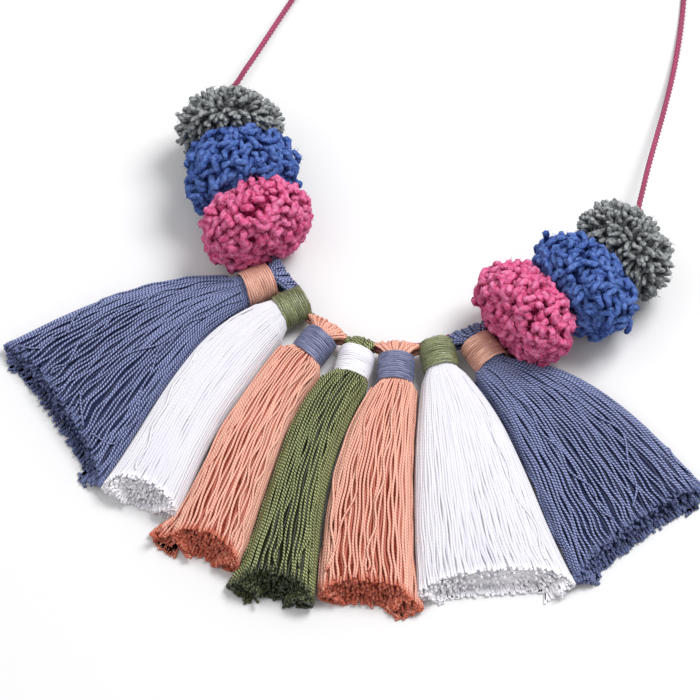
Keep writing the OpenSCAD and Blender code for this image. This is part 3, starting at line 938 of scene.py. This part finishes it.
def ball_mesh(side, n, surface, heart):
    """The surface that the yarn's ends stand on, and the solid heart under them, as shares of the ball's size."""
    outer, faces = pompom_ball(side, n, surface)
    inner, _ = pompom_ball(side, n, heart)
    mesh = bpy.data.meshes.new("pompom_ball")
    shifted = [tuple(i + len(outer) for i in f) for f in faces]
    mesh.from_pydata([tuple(p) for p in outer + inner], [], faces + shifted)
    mark_inner(mesh, len(faces))
    return mesh


# Each strand leaves the ball outwards and bends over by an angle in radians, so that most of its length lies on
# the ball. Its root is that far under the ball's surface.
wire, size = start_tree("Yarn ball", {
    "Spacing": 0.0022, "Yarn width": 0.0024, "Length": 0.006, "Bend": 3.0, "Root": 0.001, "Lean": 0.6,
    "Curl": 0.004, "Curl size": 0.006, "Points": 8, "Fluff": 140000.0, "Seed": 1, "Yarn": None, "Core": None,
})
core, ball = inner_and_outer(size["Geometry"])
roots = wire.add(
    "GeometryNodeDistributePointsOnFaces", {"distribute_method": "POISSON"},
    {"Mesh": ball, "Distance Min": size["Spacing"], "Density Max": 900000.0, "Seed": size["Seed"]},
)
outward, standing = roots.other("Normal"), roots.other("Rotation")


def pick(low, high, salt):
    return chance(wire, low, high, size["Seed"] + salt)


def turned_by(rotation, **angles):
    """A rotation, turned further about its own axes."""
    further = wire.add("FunctionNodeEulerToRotation", values={"Euler": vector(wire, **angles)})
    return wire.add(
        "FunctionNodeRotateRotation", {"rotation_space": "LOCAL"}, {"Rotation": rotation, "Rotate By": further}
    )


spun = turned_by(standing, Z=pick(0.0, 6.28, 13))
tilted = turned_by(spun, X=pick(-1.0, 1.0, 11) * size["Lean"], Y=pick(-1.0, 1.0, 12) * size["Lean"])
run = 0.5 - wire.math("COSINE", wire.add("GeometryNodeSplineParameter", out="Factor") * math.pi) * 0.5
turned, radius = run * size["Bend"], size["Length"] / size["Bend"]
rise = wire.math("SINE", turned) * radius - size["Root"]
arc = vector(wire, X=(1 - wire.math("COSINE", turned)) * radius, Z=rise)
yarn = wire.add("GeometryNodeCurvePrimitiveLine", values={"Start": (0, 0, 0), "End": (0, 0, 1)})
yarn = wire.add("GeometryNodeResampleCurve", values={"Curve": yarn, "Count": size["Points"]})
# How high each point of a strand rises, and which way is out from the ball, are kept for the painted shade and
# highlight in the yarn's material.
yarn = moved_to(store(store(yarn, "run", run), "rise", rise), arc)
roots = store(store(roots, "shade", pick(0.0, 1.0, 14)), "up", outward, "FLOAT_VECTOR")
strands = realized(wire.add("GeometryNodeInstanceOnPoints", values={
    "Points": roots, "Instance": yarn, "Rotation": tilted, "Scale": pick(0.8, 1.25, 15),
}))
run, shade = named(wire, "run"), named(wire, "shade")
here = wire.add("GeometryNodeInputPosition")
curling = noise(here, 1 / size["Curl size"], 0.5, "Color", W=shade * 2.5)
curling = curling.vector_math("SUBTRACT", (0.5, 0.5, 0.5)).vector_math("SCALE", Scale=size["Curl"] * 2)
strands = moved_to(strands, lifted(here.vector_math("ADD", curling), size["Yarn width"] / 2))
fatness = 0.95 + (run * 2.3 + shade * 7).sine() * 0.16
from_end = wire.math("MINIMUM", wire.math("MINIMUM", run, 1 - run) * size["Length"] * 2 / size["Yarn width"], 1.0)
rounded = wire.math("SQRT", from_end * (2 - from_end) * 0.96 + 0.04)
tufts = crowned(sweep(strands, round_section(wire, size["Yarn width"]), fatness * rounded))
fluff = wire.add(
    "GeometryNodeDistributePointsOnFaces",
    values={"Mesh": tufts, "Density": size["Fluff"], "Seed": size["Seed"]},
)
stance = turned_by(fluff.other("Rotation"), X=pick(-1.1, 1.1, 21), Y=pick(-1.1, 1.1, 22), Z=pick(0.0, 6.28, 23))
fibre = wire.add("GeometryNodeMeshCone", values={
    "Vertices": 3, "Radius Top": 0.0, "Radius Bottom": 0.00011, "Depth": 0.0019,
})
fluff = realized(wire.add("GeometryNodeInstanceOnPoints", values={
    "Points": fluff, "Instance": fibre, "Rotation": stance, "Scale": pick(0.5, 1.2, 24),
}))
pompom = wire.add("GeometryNodeJoinGeometry", values={"Geometry": [core, tufts, fluff]})
end_tree(moved_to(pompom, lifted(here, 0.0)), size["Yarn"], size["Core"])
pompom_tree = wire.tree


yarn_ply = 0.0022  # the same for the yarn


def yarn_material(name, dark, middle, light, deep):
    """Soft plied yarn: painted pale, as a highlight, and fluffy where it lies on top, and painted dark, as shade,
    in folds that deep between its strands.
    """
    material, wire, shader = material_start(
        name, Roughness=0.95, Specular_IOR_Level=0.05, Sheen_Weight=0.02, Sheen_Roughness=0.6
    )
    turn, along = strand_places(wire)
    shade, rise, crown = (reading(wire, mark) for mark in ("shade", "rise", "crown"))
    plies = (turn * 2 + along / yarn_ply + shade * 5).sine() * 0.5 + 0.5
    fibres = noise(places_on(wire), 1500, 4)
    woolly = noise(places_on(wire), 650, 5, Roughness=0.7)
    high = (rise / deep + 1).held()
    # Painted shade: the dark colour low in the folds and where a strand faces away from the ball's outside.
    colour = blend(high * (crown * 0.9 + 0.25).held(), dark, middle)
    # Painted highlight: the light colour on parts that face out, high on the ball, in amounts that vary with each
    # strand, its plies and fibres.
    pale = wire.math("MAXIMUM", crown, 0.0) ** 2 * (shade * 0.4 + plies * 0.3 + (fibres - 0.35) * 1.6)
    colour = blend(pale * high, colour, light)
    colour = blend(((0.5 - woolly) * 5).held() * 0.65, colour, dark)
    colour = blend(((woolly - 0.5) * 5).held() * 0.5, colour, light)
    normal = bumped(plies * 0.2 + fibres * 0.5 + woolly, 1.0, 0.0016)
    return plug(material, shader, {"Base Color": colour, "Normal": normal})


# Each look: a dark colour for painted shade in the folds, the middle colour, a light colour for painted
# highlights, and how deep the shaded folds reach.
yarn_looks = {
    "pink": ((146, 12, 64), (238, 68, 134), (255, 164, 208), 0.003),
    "blue": ((26, 46, 118), (60, 89, 166), (122, 154, 224), 0.003),
    "grey": ((58, 60, 64), (136, 140, 142), (204, 208, 208), 0.004),
}
yarns = {colour: yarn_material(colour + "_yarn", *look) for colour, look in yarn_looks.items()}
# Painted shade: each yarn core is darker than its yarn, standing in for the deep strands in shade.
yarn_cores = {
    "pink": core_material("pink_core", (156, 26, 78)),
    "blue": core_material("blue_core", (44, 64, 132)),
    "grey": core_material("grey_core", (76, 78, 82)),
}
yarn_sizes = {
    "pink": {
        "Spacing": 0.0017, "Yarn width": 0.0028, "Length": 0.0056, "Bend": 3.3, "Root": 0.0008, "Lean": 0.6,
        "Curl": 0.0022, "Curl size": 0.004, "Points": 8,
    },
    "blue": {
        "Spacing": 0.0017, "Yarn width": 0.0024, "Length": 0.0074, "Bend": 2.8, "Root": 0.0017, "Lean": 0.45,
        "Curl": 0.0022, "Curl size": 0.004, "Points": 9,
    },
    "grey": {
        "Spacing": 0.0016, "Yarn width": 0.0019, "Length": 0.0066, "Bend": 0.7, "Root": 0.0048, "Lean": 0.35,
        "Curl": 0.0014, "Curl size": 0.005, "Points": 7,
    },
}
ball_shares = {"pink": (0.93, 0.90), "blue": (0.94, 0.91), "grey": (0.94, 0.80)}  # of the surface and the heart
for side, word in ((-1, "left"), (1, "right")):
    for n, colour in enumerate(("pink", "blue", "grey")):
        pompom = grow(f"pompom_{word}_{colour}_yarn", ball_mesh(side, n, *ball_shares[colour]), pompom_tree, {
            **yarn_sizes[colour], "Seed": n + 4 * (side + 2), "Yarn": yarns[colour], "Core": yarn_cores[colour],
        })
        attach(pompom, "root")
        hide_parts(f"pompom_{word}_{colour}")


# Clasp: a barrel of two halves that screw together, turned from metal and brushed. It closes the cord behind the
# neck, with one cord end held in each of its ends.
def clasp_material():
    material, wire, shader = material_start("brushed_metal", Metallic=1.0)
    fine = wire.add("ShaderNodeMapping", values={"Vector": places_on(wire), "Scale": (6000, 300, 300)})
    brushed = noise(fine, 1.0, 3)
    colour = blend(noise(places_on(wire), 250, 3), (196, 196, 200), (222, 222, 226))
    return plug(material, shader, {
        "Base Color": colour, "Roughness": brushed * 0.15 + 0.22, "Normal": bumped(brushed, 0.2, 0.0001),
    })


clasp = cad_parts["clasp"]
clasp.data.materials.clear()
clasp.data.materials.append(clasp_material())


# Table and light: a plain near-white table in a bright, even room. Two large soft lamps stand over it, the
# stronger one behind and to the right.
def table_material():
    material, wire, shader = material_start("pale_table", Roughness=0.7, Specular_IOR_Level=0.2)
    cloud = noise(places_on(wire), 3, 2)
    return plug(material, shader, {"Base Color": blend(cloud, (216, 216, 217), (219, 219, 220))})


table = bpy.data.meshes.new("table")
table.from_pydata([(-3, -3, 0), (3, -3, 0), (3, 3, 0), (-3, 3, 0)], [], [(0, 1, 2, 3)])
table.materials.append(table_material())
floor = placed("table", table)

world = bpy.data.worlds.new("studio")
world.use_nodes = True
world.node_tree.nodes["Background"].inputs["Color"].default_value = (1, 1, 1, 1)
world.node_tree.nodes["Background"].inputs["Strength"].default_value = 0.62
bpy.context.scene.world = world
for name, place, width, power in (("key", (0.40, 0.45, 1.2), 0.6, 18), ("fill", (-0.7, -0.6, 1.2), 1.2, 4)):
    lamp = placed(name, bpy.data.lights.new(name, "AREA"))
    lamp.data.size, lamp.data.energy = width, power
    lamp.location = place
    lamp.rotation_euler = (Vector(place) - looked_at).to_track_quat("Z", "Y").to_euler()
bpy.context.scene.view_settings.view_transform = "Standard"
